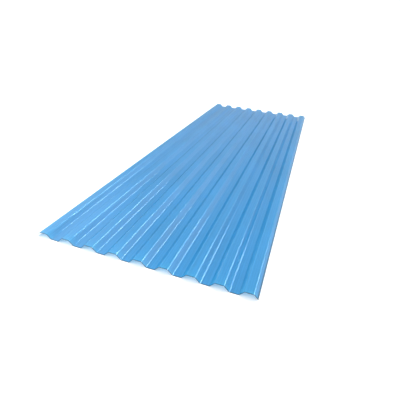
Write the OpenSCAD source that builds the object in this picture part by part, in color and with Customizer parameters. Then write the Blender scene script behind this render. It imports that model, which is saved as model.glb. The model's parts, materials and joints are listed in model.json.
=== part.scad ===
// Corrugated polycarbonate sheet with a trapezoidal (box) profile, lying flat on its valleys.
//
// X runs across the corrugations, Y along them and Z up. The origin is the middle of the
// sheet's plan, level with the undersides of the valleys.
//
// The section is drawn as one folded line, half way through the thickness. Both surfaces are
// offsets of that line, so the wall keeps its thickness round every fold.

/* [Sheet] */
// Length along the corrugations
sheet_l = 1829; // [300:1:3660]
// Thickness of the polycarbonate
wall_t = 0.8; // [0.6:0.1:1.5]

/* [Corrugations] */
// Number of crests across the sheet
crest_count = 9; // [2:1:14]
// Distance from one crest to the next
pitch = 76.2; // [70:0.1:100]
// Depth of the corrugations, from crest to valley
wave_h = 14.3; // [10:0.1:20]
// Width of a crest's flat top, between its two folds
crest_w = 23.8; // [16:0.1:28]
// Width of a valley's flat bottom, between its two folds
valley_w = 24.4; // [16:0.1:28]
// Radius on the inside of the folds beside a crest
crest_fold_r = 3.4; // [1:0.1:6]
// Radius on the inside of the folds beside a valley
valley_fold_r = 5; // [1:0.1:6]

/* [Side edges] */
// How much of the outermost flank is left below each edge crest, as a share of a whole flank
edge_share = 0.8; // [0.4:0.05:1]

/* [Hidden] */

SHEET_COLOUR = [0.33, 0.62, 0.87];

// Flat steps that make up the arc of one fold
FOLD_STEPS = 6;

// Sides of the folded line, as seen along +Y
UPPER = 1;
LOWER = -1;

valley_z = wall_t / 2;
crest_z = valley_z + wave_h;
flank_run = (pitch - crest_w - valley_w) / 2;

// X of the middle of crest number i, counted from the left edge
function crest_x(i) = (i - (crest_count - 1) / 2) * pitch;

// Corners of the folded line on one side of crest number i. side is -1 for left, 1 for right.
function crest_corner(i, side) = [crest_x(i) + side * crest_w / 2, crest_z];
function valley_corner(i, side) = [crest_x(i) + side * (crest_w / 2 + flank_run), valley_z];
function edge_corner(i, side) =
    let (top = crest_corner(i, side), foot = valley_corner(i, side))
    top + edge_share * (foot - top);

// The whole folded line with sharp corners, from the left edge to the right one
last_crest = crest_count - 1;
fold_line = [
    for (i = [0 : last_crest]) each [
        i == 0 ? edge_corner(i, -1) : valley_corner(i, -1),
        crest_corner(i, -1),
        crest_corner(i, 1),
        i == last_crest ? edge_corner(i, 1) : valley_corner(i, 1)
    ]
];

// Direction from p to q in degrees, and the unit vectors along and square to a direction
function heading(p, q) = atan2(q.y - p.y, q.x - p.x);
function along(angle) = [cos(angle), sin(angle)];
function square_to(angle) = [-sin(angle), cos(angle)];

// Points of one surface round the fold at corner, between the line's headings before and after
function fold_arc(corner, before, after, surface) =
    let (
        turn = after - before,
        bend = sign(turn),
        inner_r = turn < 0 ? crest_fold_r : valley_fold_r,
        mid_r = inner_r + wall_t / 2,
        setback = mid_r * tan(abs(turn) / 2),
        centre = corner - setback * along(before) + bend * mid_r * square_to(before),
        reach = surface * wall_t / 2 - bend * mid_r
    )
    [for (k = [0 : FOLD_STEPS]) centre + reach * square_to(before + turn * k / FOLD_STEPS)];

// Point of one surface at an end of the line, where the sheet is slit square
function slit_end(tip, angle, surface) = tip + surface * wall_t / 2 * square_to(angle);

// Points of one whole surface, from the left edge to the right one
function surface_line(surface) =
    let (
        last = len(fold_line) - 1,
        headings = [for (i = [1 : last]) heading(fold_line[i - 1], fold_line[i])]
    )
    [
        slit_end(fold_line[0], headings[0], surface),
        for (i = [1 : last - 1]) each fold_arc(fold_line[i], headings[i - 1], headings[i], surface),
        slit_end(fold_line[last], headings[last - 1], surface)
    ];

function reversed(points) = [for (i = [len(points) - 1 : -1 : 0]) points[i]];

// The sheet's section, one wall thick, with round folds
module sheet_section() {
    polygon(concat(surface_line(UPPER), reversed(surface_line(LOWER))));
}

// The sheet, extruded and sawn square at both ends
module corrugated_sheet() {
    color(SHEET_COLOUR)
        rotate([90, 0, 0])
            linear_extrude(height = sheet_l, center = true)
                sheet_section();
}

corrugated_sheet();
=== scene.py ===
"""Looks of a corrugated polycarbonate sheet, laid out as a Blender add-on and run as a script.

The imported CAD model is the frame: the sheet's outer sizes and its crests' pitch and number come
from it. The dressed sheet stands for the CAD node, with finer folds, softened cuts, and the
finishes of extruded and of sawn polycarbonate.
"""

import json
import math

import bpy
from bpy.props import FloatProperty, FloatVectorProperty, IntProperty, PointerProperty
from mathutils import Matrix, Vector


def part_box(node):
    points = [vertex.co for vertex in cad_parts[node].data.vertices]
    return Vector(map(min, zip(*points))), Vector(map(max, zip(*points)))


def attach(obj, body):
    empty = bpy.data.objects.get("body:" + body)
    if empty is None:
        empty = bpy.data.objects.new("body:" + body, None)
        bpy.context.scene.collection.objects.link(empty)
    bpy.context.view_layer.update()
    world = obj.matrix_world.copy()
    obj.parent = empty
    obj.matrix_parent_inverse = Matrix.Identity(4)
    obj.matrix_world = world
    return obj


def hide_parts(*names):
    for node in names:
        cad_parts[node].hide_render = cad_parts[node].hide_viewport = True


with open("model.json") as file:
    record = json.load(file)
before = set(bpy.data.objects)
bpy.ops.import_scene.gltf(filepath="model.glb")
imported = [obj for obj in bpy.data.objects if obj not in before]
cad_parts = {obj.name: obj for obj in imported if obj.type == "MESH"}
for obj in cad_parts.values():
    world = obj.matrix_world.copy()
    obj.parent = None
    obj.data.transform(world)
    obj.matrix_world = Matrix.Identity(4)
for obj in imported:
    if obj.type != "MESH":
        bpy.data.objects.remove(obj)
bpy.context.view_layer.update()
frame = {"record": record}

bl_info = {
    "name": "Corrugated Polycarbonate Sheet",
    "version": (1, 0, 0),
    "blender": (4, 5, 0),
    "location": "View3D > Sidebar > Sheet",
    "description": "Builds and finishes a corrugated polycarbonate sheet on a pale studio floor",
    "category": "Add Mesh",
}

MM = 0.001
NODE = "corrugated_sheet"
WHITE = (1.0, 1.0, 1.0, 1.0)

# ---------------------------------------------------------------------------------------------
# Sizes read from the frame
# ---------------------------------------------------------------------------------------------

LOW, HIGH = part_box(NODE)


def mounts_named(start):
    """The record's mounts whose names begin with start, from left to right."""
    found = [m for m in frame["record"]["mounts"] if m["name"].startswith(start)]
    return sorted(found, key=lambda m: m["pos_m"][0])


# Each valley rests on a purlin, and there is one crest more than there are valleys.
SEATS = mounts_named("purlin_seat")
PITCH = SEATS[1]["pos_m"][0] - SEATS[0]["pos_m"][0]
CREST_COUNT = len(SEATS) + 1

# ---------------------------------------------------------------------------------------------
# Properties
# ---------------------------------------------------------------------------------------------


def linear(hex_colour):
    """Scene-linear RGB from an sRGB hex value such as 0x4A9DCE."""
    channels = [(hex_colour >> shift & 0xFF) / 255 for shift in (16, 8, 0)]
    return tuple(c / 12.92 if c <= 0.04045 else ((c + 0.055) / 1.055) ** 2.4 for c in channels)


def length(name, description, default, low, high):
    """A length, whose default and limits are given in millimetres."""
    return FloatProperty(
        name=name,
        description=description,
        default=default * MM,
        min=low * MM,
        max=high * MM,
        precision=5,
        unit="LENGTH",
    )


def colour(name, description, default):
    """A colour, whose default is given as an sRGB hex value."""
    return FloatVectorProperty(
        name=name,
        description=description,
        default=linear(default),
        min=0,
        max=1,
        subtype="COLOR",
    )


def brightness(name, description, default):
    """A brightness. At 1, white paint that faces it shows as full white."""
    return FloatProperty(name=name, description=description, default=default, min=0, max=8)


def share(name, description, default):
    """A share, from 0 for none to 1 for all."""
    return FloatProperty(
        name=name, description=description, default=default, min=0, max=1, subtype="FACTOR"
    )


class SheetSizes(bpy.types.PropertyGroup):
    """Sizes of the section that the frame's box doesn't give, and how finely it is built."""

    wall: length("Wall", "Thickness of the polycarbonate", 0.8, 0.5, 2)
    crest_flat: length(
        "Crest flat", "Width of a crest's flat top, between its two folds", 23.8, 10, 40
    )
    valley_flat: length(
        "Valley flat", "Width of a valley's flat bottom, between its two folds", 24.4, 10, 40
    )
    crest_fold: length(
        "Crest fold", "Radius on the inside of the folds beside a crest", 3.4, 0.5, 8
    )
    valley_fold: length(
        "Valley fold", "Radius on the inside of the folds beside a valley", 5, 0.5, 8
    )
    arris: length(
        "Arris", "How far the saw and the slitter break each cut corner", 0.12, 0.02, 0.3
    )
    fold_steps: IntProperty(
        name="Fold steps",
        description="Flat steps that make up the arc of one fold",
        default=12,
        min=2,
        max=24,
    )
    spans: IntProperty(
        name="Spans",
        description="Number of spans along the length",
        default=40,
        min=2,
        max=80,
    )


class SheetColours(bpy.types.PropertyGroup):
    """Colours of the sheet and the studio."""

    body: colour("Sheet blue", "The plastic's own blue, in reflected light", 0x4A9DCE)
    glow: colour("Transmitted blue", "The blue of light that has come through the wall", 0x82DAEE)
    # Painted shade: this share darkens the blue beside every cut, to draw a dark outline along the
    # cuts.
    rim_shade_depth: share("Rim depth", "How much deeper the blue is right beside a cut", 0.65)
    cut: colour("Cut edge", "The deeper blue that shows in the depth of a cut edge", 0x06243F)
    floor: colour("Floor", "The studio's pale floor", 0xEAEAEA)
    daylight: colour("Daylight", "The cool daylight of the lamps beyond the sheet", 0xB4E4FF)


class SheetLight(bpy.types.PropertyGroup):
    """Strengths of the studio's soft light."""

    ceiling: brightness("Ceiling", "Brightness of the studio's ceiling", 0.82)
    cove: brightness("Cove", "Brightness of the curve where the walls run into the ceiling", 0.86)
    upper_wall: brightness(
        "Upper wall", "Brightness of the wall between the backdrop and the cove", 0.85
    )
    horizon: brightness(
        "Horizon", "Brightness of the pale backdrop all round, low above the floor", 1.1
    )
    left_panel: brightness(
        "Left panel", "Brightness that a broad panel adds beyond the sheet on the left", 1.1
    )
    right_panel: brightness(
        "Right panel", "Brightness that a broad panel adds beyond the sheet on the right", 1.2
    )
    screen: share(
        "Screen", "How much of the light a low screen beyond the right of the sheet stops", 0.6
    )
    floor_glow: brightness(
        "Floor glow", "Brightness of the floor's own glow, as on a light table", 0.19
    )
    overhead: brightness("Overhead", "Light from the broad diffuser overhead", 0.08)
    far_lamp: brightness(
        "Far lamp", "Light from the lamp beyond the sheet, which draws the lines on its folds", 0.58
    )
    side_lamp: brightness(
        "Side lamp", "Light from a smaller lamp beside it, for the folds furthest left", 0.13
    )
    front_lamp: FloatProperty(
        name="Front lamp",
        description="Power of the soft round lamp in front of the sheet on the left",
        default=8.0,
        min=0,
        max=200,
        unit="POWER",
    )


class SheetView(bpy.types.PropertyGroup):
    """Where the camera stands and looks."""

    place: FloatVectorProperty(
        name="Place",
        description="Position of the camera",
        default=(0.3463, -1.5060, 0.5925),
        subtype="TRANSLATION",
        unit="LENGTH",
    )
    heading: FloatProperty(
        name="Heading",
        description="Turn of the view from +Y towards +X",
        default=math.radians(-17.207),
        subtype="ANGLE",
    )
    tilt: FloatProperty(
        name="Tilt",
        description="How far the view looks down",
        default=math.radians(29.581),
        subtype="ANGLE",
    )
    roll: FloatProperty(
        name="Roll",
        description="Turn of the camera about its own axis",
        default=math.radians(4.023),
        subtype="ANGLE",
    )
    lens: FloatProperty(
        name="Lens",
        description="Focal length on a 36 mm sensor",
        default=29.353,
        min=10,
        max=200,
        unit="CAMERA",
    )


# ---------------------------------------------------------------------------------------------
# The section: one folded line, half way through the wall
# ---------------------------------------------------------------------------------------------


def along(angle):
    """Unit vector in a direction in the section, where X is across and Y is up."""
    return Vector((math.cos(angle), math.sin(angle)))


def square_to(angle):
    """Unit vector a quarter turn from that direction."""
    return Vector((-math.sin(angle), math.cos(angle)))


def folded_line(sizes):
    """Corners of the folded line from the left edge to the right one."""
    half_wall = sizes.wall / 2
    low_z, high_z = half_wall, HIGH.z - half_wall
    run = (PITCH - sizes.crest_flat - sizes.valley_flat) / 2
    slope = math.atan2(high_z - low_z, run)
    # The outermost flank stops where the slit edge's corner meets the CAD model's side.
    tip = HIGH.x - half_wall * math.sin(slope)
    edge_run = tip - (CREST_COUNT - 1) / 2 * PITCH - sizes.crest_flat / 2
    corners = []
    for i in range(CREST_COUNT):
        middle = (i - (CREST_COUNT - 1) / 2) * PITCH
        for side in (-1, 1):
            crest = Vector((middle + side * sizes.crest_flat / 2, high_z))
            foot = Vector((middle + side * (sizes.crest_flat / 2 + run), low_z))
            outermost = i == (0 if side < 0 else CREST_COUNT - 1)
            end = crest.lerp(foot, edge_run / run) if outermost else foot
            corners += [end, crest] if side < 0 else [crest, end]
    return corners


def line_stations(sizes):
    """Points along the folded line as (centre, bend, angle, distance). A point of the sheet at
    some height above the line is centre + (height - bend) * square_to(angle), and distance is
    measured along the line from the left edge."""
    corners = folded_line(sizes)
    angles = [math.atan2(q.y - p.y, q.x - p.x) for p, q in zip(corners, corners[1:])]
    stations = [(corners[0], 0.0, angles[0], 0.0)]
    distance = 0.0
    last = corners[0]
    for corner, before, after in zip(corners[1:-1], angles, angles[1:]):
        turn = after - before
        inner_radius = sizes.valley_fold if turn > 0 else sizes.crest_fold
        middle_radius = inner_radius + sizes.wall / 2
        bend = math.copysign(middle_radius, turn)
        setback = middle_radius * math.tan(abs(turn) / 2)
        centre = corner - setback * along(before) + bend * square_to(before)
        distance += (corner - last).length - setback
        for k in range(sizes.fold_steps + 1):
            part = k / sizes.fold_steps
            arc = middle_radius * abs(turn) * part
            stations.append((centre, bend, before + turn * part, distance + arc))
        distance += middle_radius * abs(turn)
        last = corner + setback * along(after)
    distance += (corners[-1] - last).length
    stations.append((corners[-1], 0.0, angles[-1], distance))
    return stations


def section_point(station, height, shift=0.0):
    """The point at a height above the folded line, moved along the line by shift."""
    centre, bend, angle, _ = station
    return centre + (height - bend) * square_to(angle) + shift * along(angle)


def section_loop(stations, half_wall, pull, arris):
    """Closed loop of (point, distance, height) round the section: the upper surface from left to
    right, two corners of the right slit edge, the lower surface from right to left, and two
    corners of the left slit edge. The slit faces are pulled in by pull, and their corners are
    broken by arris."""
    loop = []
    for surface, ordered in ((1, stations), (-1, stations[::-1])):
        height = surface * half_wall
        tips = (0, len(ordered) - 1)
        for k, station in enumerate(ordered):
            inward = surface if k == 0 else -surface
            shift = inward * (pull + arris) if k in tips else 0.0
            loop.append((section_point(station, height, shift), station[3], height))
        for side in (1, -1):
            tip_height = side * surface * (half_wall - arris)
            tip = section_point(ordered[-1], tip_height, -surface * pull)
            loop.append((tip, ordered[-1][3], tip_height))
    return loop


# ---------------------------------------------------------------------------------------------
# The mesh
# ---------------------------------------------------------------------------------------------

# Material slots of the dressed sheet
BODY_FINISH, CUT_FINISH = 0, 1


def ring_places(sizes):
    """(y, half wall, pull, arris) of each ring of points, from the near end to the far one. The
    ring at each end is thinner, where the saw's arris is broken, and the slit edges' own arrises
    narrow there to a mitred corner."""
    half_wall, arris = sizes.wall / 2, sizes.arris
    narrow = (half_wall - arris, arris, arris * (math.sqrt(2) - 1))
    whole = (half_wall, 0.0, arris)
    first, last = LOW.y + arris, HIGH.y - arris
    between = [
        (first + (last - first) * k / sizes.spans, *whole) for k in range(sizes.spans + 1)
    ]
    return [(LOW.y, *narrow), *between, (HIGH.y, *narrow)]


def wall_faces(count, ring_count):
    """Faces between the rings, and the finish of each. Every ring runs round the section: count
    points on the upper surface, two on the right slit edge, count below and two on the left."""
    around = 2 * count + 4
    upper, lower = range(count - 1), range(count + 2, 2 * count + 1)
    faces, finishes = [], []
    for j in range(ring_count - 1):
        at_end = j in (0, ring_count - 2)
        for k in range(around):
            a, b = j * around + k, j * around + (k + 1) % around
            faces.append((a, b, b + around, a + around))
            flat = (k in upper or k in lower) and not at_end
            finishes.append(BODY_FINISH if flat else CUT_FINISH)
    return faces, finishes


def saw_cut_faces(count, ring_count):
    """Faces across the wall at both ends, from each point of a ring to the one under it."""
    around = 2 * count + 4
    far_ring = (ring_count - 1) * around
    across = [(k, 2 * count + 1 - k) for k in range(-1, count + 1)]
    faces = []
    for (k, under), (next_k, next_under) in zip(across, across[1:]):
        near = [i % around for i in (k, under, next_under, next_k)]
        faces.append(near)
        faces.append([far_ring + i for i in reversed(near)])
    return faces


def surface_normals(stations, ring_count):
    """Smooth normal of every point of the two surfaces; the slit edges' points have none."""
    count = len(stations)
    around = 2 * count + 4
    normals = [Vector((0, 0, 0))] * (around * ring_count)
    for j in range(ring_count):
        for k, (_, _, angle, _) in enumerate(stations):
            up = square_to(angle)
            normals[j * around + k] = Vector((up.x, 0, up.y))
            normals[j * around + 2 * count + 1 - k] = Vector((-up.x, 0, -up.y))
    return normals


def sheet_mesh(sizes):
    """The whole sheet as quads: rings of points along its length, closed by faces at both ends.
    Its UV map, in metres, is the sheet unfolded flat. A cut face would have no width there, so
    each of its points is moved slantwise by its height above the folded line."""
    stations = line_stations(sizes)
    rings = ring_places(sizes)
    points, unfolded = [], []
    for y, half_wall, pull, arris in rings:
        for point, distance, height in section_loop(stations, half_wall, pull, arris):
            points.append((point.x, y, point.y))
            unfolded.append((distance, y, height))
    faces, finishes = wall_faces(len(stations), len(rings))
    saw_cuts = saw_cut_faces(len(stations), len(rings))
    faces += saw_cuts
    finishes += [CUT_FINISH] * len(saw_cuts)

    mesh = bpy.data.meshes.new("polycarbonate_sheet")
    mesh.from_pydata(points, [], faces)
    mesh.polygons.foreach_set("material_index", finishes)
    mesh.polygons.foreach_set("use_smooth", [True] * len(faces))
    uv_layer = mesh.uv_layers.new(name="unfolded")
    smooth = surface_normals(stations, len(rings))
    normals = []
    for polygon in mesh.polygons:
        cut = polygon.material_index == CUT_FINISH
        for corner in polygon.loop_indices:
            vertex = mesh.loops[corner].vertex_index
            distance, y, height = unfolded[vertex]
            slip = height if cut else 0.0
            uv_layer.data[corner].uv = (distance + slip, y + slip)
            normals.append(polygon.normal if cut else smooth[vertex])
    mesh.normals_split_custom_set(normals)
    mesh.validate()
    return mesh


# ---------------------------------------------------------------------------------------------
# Materials
# ---------------------------------------------------------------------------------------------


def add_node(tree, kind, settings=None, **inputs):
    """Adds a node with its settings. Each input is a value, or an output socket to link from. An
    input's name has _ for a space, or is i and a number for a socket by its place."""
    node = tree.nodes.new(kind)
    for name, value in (settings or {}).items():
        setattr(node, name, value)
    for name, value in inputs.items():
        by_place = name[0] == "i" and name[1:].isdigit()
        socket = node.inputs[int(name[1:]) if by_place else name.replace("_", " ")]
        if isinstance(value, bpy.types.NodeSocket):
            tree.links.new(value, socket)
        else:
            socket.default_value = value
    return node


def new_material(name):
    """A material without nodes, and its node tree."""
    material = bpy.data.materials.new(name)
    material.use_nodes = True
    material.node_tree.nodes.clear()
    return material, material.node_tree


# What most values of a noise pattern lie between
NOISE_LOW, NOISE_HIGH = 0.3, 0.7

POLYCARBONATE_IOR = 1.585

# Patterns of the extruded surface, as (width, length) on the unfolded sheet. The die lines are
# really under 1 mm apart and the grain under 0.2 mm wide: both are drawn coarse enough to show. A
# die line is longer than the sheet, and the tint drifts slowly as the melt leaves the die.
DIE_LINES = (3.5 * MM, 6000 * MM)
TINT_PATCHES = (140 * MM, 280 * MM)
GRAIN = (1.2 * MM, 1.2 * MM)

# Share of the light that shows by going through the wall. The rest comes from its surface.
THROUGH_SHARE = 0.6

# The blue runs from DEEPEST to PALEST as the sum of the die lines and of PATCH_SHARE of the tint
# patches goes from SHADE_LOW to SHADE_HIGH.
PATCH_SHARE = 0.4
SHADE_LOW, SHADE_HIGH = 0.45, 0.95
DEEPEST, PALEST = 0.94, 1.07

# How far from a saw cut, and from a slit edge, the blue is painted darker: a painted shade that
# draws a dark outline along every cut
SAWN_RIM_SHADE = 3 * MM
SLIT_RIM_SHADE = 8 * MM

# Gloss of the plastic, which varies with the tint, and of the thin clear cap layer over it
GLOSSIEST, DULLEST = 0.13, 0.17
CAP_WEIGHT = 1.0
CAP_ROUGHNESS = 0.15

# The relief is the die lines and GRAIN_SHARE of the grain. The cap layer fills nearly all of it,
# and leaves RELIEF_LEFT.
GRAIN_SHARE = 0.1
DIE_LINE_DEPTH = 0.1 * MM
RELIEF_LEFT = 0.01


def surface_coordinates(tree, mark_width, mark_length):
    """Coordinates on the unfolded sheet for a pattern whose marks are so wide and so long."""
    unfolded = add_node(tree, "ShaderNodeUVMap", {"uv_map": "unfolded"})
    return add_node(
        tree,
        "ShaderNodeVectorMath",
        {"operation": "MULTIPLY"},
        i0=unfolded.outputs["UV"],
        i1=(1 / mark_width, 1 / mark_length, 1.0),
    ).outputs["Vector"]


def painted_rim_shade(tree, sheet_width, depth):
    """Painted shade on the unfolded sheet: 1, falling by depth over the rim beside every cut, as a
    dark outline.
    """
    unfolded = add_node(tree, "ShaderNodeUVMap", {"uv_map": "unfolded"})
    from_middle = add_node(
        tree,
        "ShaderNodeVectorMath",
        {"operation": "SUBTRACT"},
        i0=unfolded.outputs["UV"],
        i1=(sheet_width / 2, 0.0, 0.0),
    )
    reach = add_node(
        tree, "ShaderNodeVectorMath", {"operation": "ABSOLUTE"}, i0=from_middle.outputs["Vector"]
    )
    to_cut = add_node(
        tree,
        "ShaderNodeVectorMath",
        {"operation": "SUBTRACT"},
        i0=(sheet_width / 2, HIGH.y, 0.0),
        i1=reach.outputs["Vector"],
    )
    in_rims = add_node(
        tree,
        "ShaderNodeVectorMath",
        {"operation": "MULTIPLY"},
        i0=to_cut.outputs["Vector"],
        i1=(1 / SLIT_RIM_SHADE, 1 / SAWN_RIM_SHADE, 1.0),
    )
    parts = add_node(tree, "ShaderNodeSeparateXYZ", None, Vector=in_rims.outputs["Vector"])
    nearest = add_node(
        tree,
        "ShaderNodeMath",
        {"operation": "MINIMUM"},
        i0=parts.outputs["X"],
        i1=parts.outputs["Y"],
    )
    return add_node(
        tree,
        "ShaderNodeMapRange",
        {"interpolation_type": "SMOOTHSTEP"},
        Value=nearest.outputs["Value"],
        From_Min=0.0,
        From_Max=1.0,
        To_Min=1 - depth,
        To_Max=1.0,
    ).outputs["Result"]


def extruded_polycarbonate(colours, sheet_width):
    """Clear-blue polycarbonate, extruded through a die under a thin clear cap layer. The eye gets a
    narrow, clean highlight from the cap, a softer one from the plastic under it, blue light through
    the wall, faint lines that run with the corrugations, and a painted shade beside every cut."""
    material, tree = new_material("extruded_blue_polycarbonate")
    lines, patches, grain = (
        add_node(
            tree,
            "ShaderNodeTexNoise",
            {"noise_dimensions": "2D"},
            Vector=surface_coordinates(tree, *size),
            Scale=1.0,
            Detail=detail,
        ).outputs["Fac"]
        for size, detail in ((DIE_LINES, 2.0), (TINT_PATCHES, 3.0), (GRAIN, 2.0))
    )
    shade = add_node(
        tree, "ShaderNodeMath", {"operation": "MULTIPLY_ADD"}, i0=patches, i1=PATCH_SHARE, i2=lines
    )
    strength = add_node(
        tree,
        "ShaderNodeMapRange",
        None,
        Value=shade.outputs["Value"],
        From_Min=SHADE_LOW,
        From_Max=SHADE_HIGH,
        To_Min=DEEPEST,
        To_Max=PALEST,
    )
    # Painted shade: the blue and the transmitted blue are darkened over the rim beside every cut.
    rim_shaded = add_node(
        tree,
        "ShaderNodeMath",
        {"operation": "MULTIPLY"},
        i0=strength.outputs["Result"],
        i1=painted_rim_shade(tree, sheet_width, colours.rim_shade_depth),
    )
    body, glow = (
        add_node(
            tree,
            "ShaderNodeVectorMath",
            {"operation": "SCALE"},
            i0=blue,
            Scale=rim_shaded.outputs["Value"],
        ).outputs["Vector"]
        for blue in (colours.body, colours.glow)
    )
    roughness = add_node(
        tree,
        "ShaderNodeMapRange",
        None,
        Value=patches,
        From_Min=NOISE_LOW,
        From_Max=NOISE_HIGH,
        To_Min=GLOSSIEST,
        To_Max=DULLEST,
    )
    relief = add_node(
        tree, "ShaderNodeMath", {"operation": "MULTIPLY_ADD"}, i0=grain, i1=GRAIN_SHARE, i2=lines
    )
    bump = add_node(
        tree,
        "ShaderNodeBump",
        None,
        Strength=RELIEF_LEFT,
        Distance=DIE_LINE_DEPTH,
        Height=relief.outputs["Value"],
    )
    shell = add_node(
        tree,
        "ShaderNodeBsdfPrincipled",
        None,
        Base_Color=body,
        Roughness=roughness.outputs["Result"],
        IOR=POLYCARBONATE_IOR,
        Coat_Weight=CAP_WEIGHT,
        Coat_Roughness=CAP_ROUGHNESS,
        Coat_IOR=POLYCARBONATE_IOR,
        Normal=bump.outputs["Normal"],
    )
    through = add_node(
        tree, "ShaderNodeBsdfTranslucent", None, Color=glow, Normal=bump.outputs["Normal"]
    )
    wall = add_node(
        tree,
        "ShaderNodeMixShader",
        None,
        i0=THROUGH_SHARE,
        i1=shell.outputs["BSDF"],
        i2=through.outputs["BSDF"],
    )
    add_node(tree, "ShaderNodeOutputMaterial", None, Surface=wall.outputs["Shader"])
    return material


# Scores on the cut faces, as (width, length) on the unfolded sheet. On a saw cut they lie side by
# side, as close as a fine blade leaves them, and on a slit edge they are drawn out along it.
CUT_MARKS = (0.5 * MM, 2 * MM)
CUT_MARK_DEPTH = 0.05 * MM
CUT_RELIEF = 0.4

# What the brightness of the cut's blue, and its roughness, vary between with the scores
DEEPEST_CUT, PALEST_CUT = 0.85, 1.2
SMOOTHEST_CUT, ROUGHEST_CUT = 0.45, 0.65


def sawn_polycarbonate(colours):
    """Polycarbonate cut by a fine saw or a slitter: matt, finely scored, and deep blue, because the
    eye looks into the whole width of the sheet there."""
    material, tree = new_material("sawn_blue_polycarbonate")
    marks = add_node(
        tree,
        "ShaderNodeTexNoise",
        {"noise_dimensions": "2D"},
        Vector=surface_coordinates(tree, *CUT_MARKS),
        Scale=1.0,
        Detail=2.0,
    ).outputs["Fac"]
    tone, roughness = (
        add_node(
            tree,
            "ShaderNodeMapRange",
            None,
            Value=marks,
            From_Min=NOISE_LOW,
            From_Max=NOISE_HIGH,
            To_Min=least,
            To_Max=most,
        ).outputs["Result"]
        for least, most in ((DEEPEST_CUT, PALEST_CUT), (SMOOTHEST_CUT, ROUGHEST_CUT))
    )
    blue = add_node(
        tree, "ShaderNodeVectorMath", {"operation": "SCALE"}, i0=colours.cut, Scale=tone
    )
    bump = add_node(
        tree, "ShaderNodeBump", None, Strength=CUT_RELIEF, Distance=CUT_MARK_DEPTH, Height=marks
    )
    cut = add_node(
        tree,
        "ShaderNodeBsdfPrincipled",
        None,
        Base_Color=blue.outputs["Vector"],
        Roughness=roughness,
        IOR=POLYCARBONATE_IOR,
        Normal=bump.outputs["Normal"],
    )
    add_node(tree, "ShaderNodeOutputMaterial", None, Surface=cut.outputs["BSDF"])
    return material


ACRYLIC_IOR = 1.49
MATT_ROUGHNESS = 0.9

# Width of the floor's mottle, and what its brightness varies between
MOTTLE_SIZE = 500 * MM
MOTTLE_LOW, MOTTLE_HIGH = 0.99, 1.01


def opal_acrylic_floor(colours, glow):
    """Opal acrylic, cast and sanded matt, lit from below as on a light table: an almost even white
    without a highlight, with a faint broad mottle."""
    material, tree = new_material("matt_opal_acrylic")
    place = add_node(tree, "ShaderNodeTexCoord")
    mottle = add_node(
        tree,
        "ShaderNodeTexNoise",
        None,
        Vector=place.outputs["Object"],
        Scale=1 / MOTTLE_SIZE,
        Detail=2.0,
    )
    tone = add_node(
        tree,
        "ShaderNodeMapRange",
        None,
        Value=mottle.outputs["Fac"],
        To_Min=MOTTLE_LOW,
        To_Max=MOTTLE_HIGH,
    )
    white = add_node(
        tree,
        "ShaderNodeVectorMath",
        {"operation": "SCALE"},
        i0=colours.floor,
        Scale=tone.outputs["Result"],
    )
    acrylic = add_node(
        tree,
        "ShaderNodeBsdfPrincipled",
        None,
        Base_Color=white.outputs["Vector"],
        Roughness=MATT_ROUGHNESS,
        IOR=ACRYLIC_IOR,
        Emission_Color=WHITE,
        Emission_Strength=glow,
    )
    add_node(tree, "ShaderNodeOutputMaterial", None, Surface=acrylic.outputs["BSDF"])
    return material


# ---------------------------------------------------------------------------------------------
# The studio
# ---------------------------------------------------------------------------------------------

# The floor reaches past every view, and lies just clear of the valleys' undersides, so that the
# two faces can't flicker through each other.
FLOOR_SIZE = 120.0
FLOOR_Z = -0.2 * MM

# Elevations in degrees between which the horizon, the upper wall and the cove keep their own
# brightness, and from which the ceiling does
BAND_EDGES = (0.0, 4.5, 6.5, 9.0, 12.0, 27.0, 45.0)

# Direction of each broad panel's middle, and how far from it the panel starts to fade and is gone
LEFT_PANEL = (-0.70, 0.45, 0.555)
LEFT_FADE = (math.radians(6), math.radians(26))
RIGHT_PANEL = (0.65, 0.55, 0.53)
RIGHT_FADE = (math.radians(8), math.radians(42))

# The screen fills a low wedge beyond the right of the sheet. Each of its soft sides has a direction
# that points into it, and the reaches along that direction where it starts and where it is whole.
SCREEN_TOP = math.radians(18.9)
SCREEN_FOOT = math.radians(4.8)
SCREEN_EDGE = (-0.05, 0.05)
SCREEN_FROM_LEFT = (0.17, 0.26)
SCREEN_FROM_FRONT = (0.4, 0.7)
SCREEN_SIDES = (
    ((math.sin(SCREEN_TOP), 0.0, -math.cos(SCREEN_TOP)), SCREEN_EDGE),
    ((-math.sin(SCREEN_FOOT), 0.0, math.cos(SCREEN_FOOT)), SCREEN_EDGE),
    ((1.0, 0.0, 0.0), SCREEN_FROM_LEFT),
    ((0.0, 1.0, 0.0), SCREEN_FROM_FRONT),
)

# Where each distant lamp's light comes from, and how wide the lamp looks from the sheet
OVERHEAD_DIRECTION = Vector((0.2, -0.45, 0.85))
OVERHEAD_ANGLE = math.radians(70)
FAR_LAMP_DIRECTION = Vector((0.22, 0.71, 0.67))
FAR_LAMP_ANGLE = math.radians(18)
SIDE_LAMP_DIRECTION = Vector((0.24, 0.645, 0.726))
SIDE_LAMP_ANGLE = math.radians(6)

# The round lamp in front is near the sheet, so it has a place, a point that it faces and a size.
FRONT_LAMP_PLACE = Vector((-0.9, -1.3, 0.6))
FRONT_LAMP_AIM = Vector((0.05, -0.8, 0.0))
FRONT_LAMP_SIZE = 1.2


def rising(tree, direction, axis, reaches, level=1.0):
    """Rises from 0 to level as the direction's reach along an axis goes from the first of two
    reaches to the second."""
    reach = add_node(
        tree, "ShaderNodeVectorMath", {"operation": "DOT_PRODUCT"}, i0=direction, i1=axis
    )
    return add_node(
        tree,
        "ShaderNodeMapRange",
        {"interpolation_type": "SMOOTHSTEP"},
        Value=reach.outputs["Value"],
        From_Min=reaches[0],
        From_Max=reaches[1],
        To_Min=0.0,
        To_Max=level,
    ).outputs["Result"]


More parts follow.
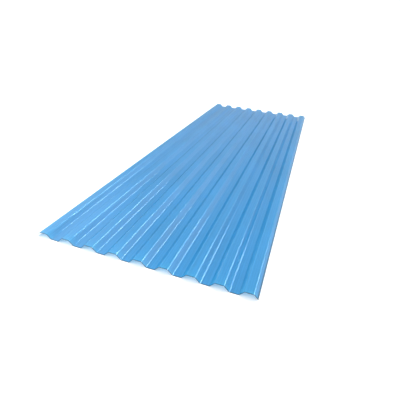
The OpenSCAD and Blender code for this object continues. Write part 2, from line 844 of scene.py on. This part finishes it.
def studio_world(light):
    """Soft surroundings: a pale backdrop all round, an even wall, cove and ceiling above it, a
    broad panel beyond the sheet on either side, and a screen that dims what lies low beyond its
    right."""
    world = bpy.data.worlds.new("studio")
    world.use_nodes = True
    tree = world.node_tree
    tree.nodes.clear()
    direction = add_node(tree, "ShaderNodeTexCoord").outputs["Generated"]
    height = add_node(tree, "ShaderNodeSeparateXYZ", None, Vector=direction).outputs["Z"]
    bands = add_node(tree, "ShaderNodeValToRGB", None, Fac=height)
    ramp = bands.color_ramp
    ramp.interpolation = "EASE"
    levels = (*[light.horizon] * 2, *[light.upper_wall] * 2, *[light.cove] * 2, light.ceiling)
    for k, (elevation, level) in enumerate(zip(BAND_EDGES, levels)):
        stop = ramp.elements[k] if k < len(ramp.elements) else ramp.elements.new(1.0)
        stop.position = math.sin(math.radians(elevation))
        stop.color = (level, level, level, 1.0)

    total = bands.outputs["Color"]
    for panel, (whole, gone), level in (
        (LEFT_PANEL, LEFT_FADE, light.left_panel),
        (RIGHT_PANEL, RIGHT_FADE, light.right_panel),
    ):
        added = rising(tree, direction, panel, (math.cos(gone), math.cos(whole)), level)
        total = add_node(
            tree, "ShaderNodeMath", {"operation": "ADD"}, i0=total, i1=added
        ).outputs["Value"]

    stopped = light.screen
    for axis, reaches in SCREEN_SIDES:
        inside = rising(tree, direction, axis, reaches)
        stopped = add_node(
            tree, "ShaderNodeMath", {"operation": "MULTIPLY"}, i0=stopped, i1=inside
        ).outputs["Value"]
    kept = add_node(
        tree, "ShaderNodeMath", {"operation": "SUBTRACT"}, i0=1.0, i1=stopped
    ).outputs["Value"]
    total = add_node(
        tree, "ShaderNodeMath", {"operation": "MULTIPLY"}, i0=total, i1=kept
    ).outputs["Value"]
    background = add_node(tree, "ShaderNodeBackground", None, Color=WHITE, Strength=total)
    add_node(tree, "ShaderNodeOutputWorld", None, Surface=background.outputs["Background"])
    return world


# ---------------------------------------------------------------------------------------------
# Operators
# ---------------------------------------------------------------------------------------------

SENSOR_WIDTH = 36  # in millimetres, as the lens is
CLIP_END = 200  # past the far corners of the floor, in metres


def link(name, data):
    """A new object in the scene that holds data."""
    piece = bpy.data.objects.new(name, data)
    bpy.context.scene.collection.objects.link(piece)
    return piece


def facing(direction):
    """Rotation of a lamp whose light comes from a direction."""
    return direction.to_track_quat("Z", "Y").to_euler()


class SHEET_OT_camera(bpy.types.Operator):
    """Sets up the camera"""

    bl_idname = "sheet.camera"
    bl_label = "Camera"

    def execute(self, context):
        view = context.scene.sheet_view
        camera = link("camera", bpy.data.cameras.new("camera"))
        camera.data.sensor_width = SENSOR_WIDTH
        camera.data.lens = view.lens
        camera.data.clip_end = CLIP_END
        level = math.cos(view.tilt)
        forward = Vector(
            (math.sin(view.heading) * level, math.cos(view.heading) * level, -math.sin(view.tilt))
        )
        right = Vector((math.cos(view.heading), -math.sin(view.heading), 0))
        up = right.cross(forward)
        turned_right = math.cos(view.roll) * right + math.sin(view.roll) * up
        turned_up = math.cos(view.roll) * up - math.sin(view.roll) * right
        rotation = Matrix((turned_right, turned_up, -forward)).transposed()
        camera.matrix_world = Matrix.Translation(view.place) @ rotation.to_4x4()
        context.scene.camera = camera
        return {"FINISHED"}


class SHEET_OT_studio(bpy.types.Operator):
    """Lays the pale floor and sets the soft light"""

    bl_idname = "sheet.studio"
    bl_label = "Studio"

    def execute(self, context):
        light, colours = context.scene.sheet_light, context.scene.sheet_colours
        half = FLOOR_SIZE / 2
        mesh = bpy.data.meshes.new("studio_floor")
        corners = [(x * half, y * half, FLOOR_Z) for x, y in ((-1, -1), (1, -1), (1, 1), (-1, 1))]
        mesh.from_pydata(corners, [], [(0, 1, 2, 3)])
        mesh.materials.append(opal_acrylic_floor(colours, light.floor_glow))
        link("studio_floor", mesh)

        context.scene.world = studio_world(light)

        # A distant lamp's energy is what reaches a face, and white paint shows that over pi.
        for name, strength, tint, angle, direction in (
            ("overhead_diffuser", light.overhead, WHITE[:3], OVERHEAD_ANGLE, OVERHEAD_DIRECTION),
            ("far_lamp", light.far_lamp, colours.daylight, FAR_LAMP_ANGLE, FAR_LAMP_DIRECTION),
            ("side_lamp", light.side_lamp, colours.daylight, SIDE_LAMP_ANGLE, SIDE_LAMP_DIRECTION),
        ):
            lamp = bpy.data.lights.new(name, "SUN")
            lamp.energy = strength * math.pi
            lamp.color = tint
            lamp.angle = angle
            link(name, lamp).rotation_euler = facing(direction)

        disc = bpy.data.lights.new("front_lamp", "AREA")
        disc.shape = "DISK"
        disc.size = FRONT_LAMP_SIZE
        disc.energy = light.front_lamp
        front_lamp = link("front_lamp", disc)
        front_lamp.location = FRONT_LAMP_PLACE
        front_lamp.rotation_euler = facing(FRONT_LAMP_PLACE - FRONT_LAMP_AIM)

        context.scene.view_settings.view_transform = "Standard"
        return {"FINISHED"}


class SHEET_OT_corrugated_sheet(bpy.types.Operator):
    """Builds the sheet: a constant wall round every fold, softened cuts, two finishes"""

    bl_idname = "sheet.corrugated_sheet"
    bl_label = "Corrugated sheet"

    def execute(self, context):
        colours, sizes = context.scene.sheet_colours, context.scene.sheet_sizes
        mesh = sheet_mesh(sizes)
        _, _, _, sheet_width = line_stations(sizes)[-1]
        mesh.materials.append(extruded_polycarbonate(colours, sheet_width))
        mesh.materials.append(sawn_polycarbonate(colours))
        sheet = link("polycarbonate_sheet", mesh)
        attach(sheet, "root")
        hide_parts(NODE)
        return {"FINISHED"}


# ---------------------------------------------------------------------------------------------
# Panel, registration and the run
# ---------------------------------------------------------------------------------------------


class SHEET_PT_sidebar(bpy.types.Panel):
    """Lists the sheet's settings and operators"""

    bl_label = "Corrugated sheet"
    bl_idname = "SHEET_PT_sidebar"
    bl_space_type = "VIEW_3D"
    bl_region_type = "UI"
    bl_category = "Sheet"

    def draw(self, context):
        scene = context.scene
        groups = (scene.sheet_sizes, scene.sheet_colours, scene.sheet_light, scene.sheet_view)
        for settings in groups:
            box = self.layout.box()
            for name in settings.bl_rna.properties.keys():
                if name not in ("rna_type", "name"):
                    box.prop(settings, name)
        for operator in OPERATORS:
            self.layout.operator(operator.bl_idname)


OPERATORS = (SHEET_OT_camera, SHEET_OT_studio, SHEET_OT_corrugated_sheet)
CLASSES = (SheetSizes, SheetColours, SheetLight, SheetView, *OPERATORS, SHEET_PT_sidebar)


def register():
    for each in CLASSES:
        bpy.utils.register_class(each)
    bpy.types.Scene.sheet_sizes = PointerProperty(type=SheetSizes)
    bpy.types.Scene.sheet_colours = PointerProperty(type=SheetColours)
    bpy.types.Scene.sheet_light = PointerProperty(type=SheetLight)
    bpy.types.Scene.sheet_view = PointerProperty(type=SheetView)


def unregister():
    del bpy.types.Scene.sheet_view
    del bpy.types.Scene.sheet_light
    del bpy.types.Scene.sheet_colours
    del bpy.types.Scene.sheet_sizes
    for each in reversed(CLASSES):
        bpy.utils.unregister_class(each)


def main():
    register()
    bpy.ops.sheet.camera()
    bpy.ops.sheet.studio()
    bpy.ops.sheet.corrugated_sheet()


if __name__ == "__main__":
    main()
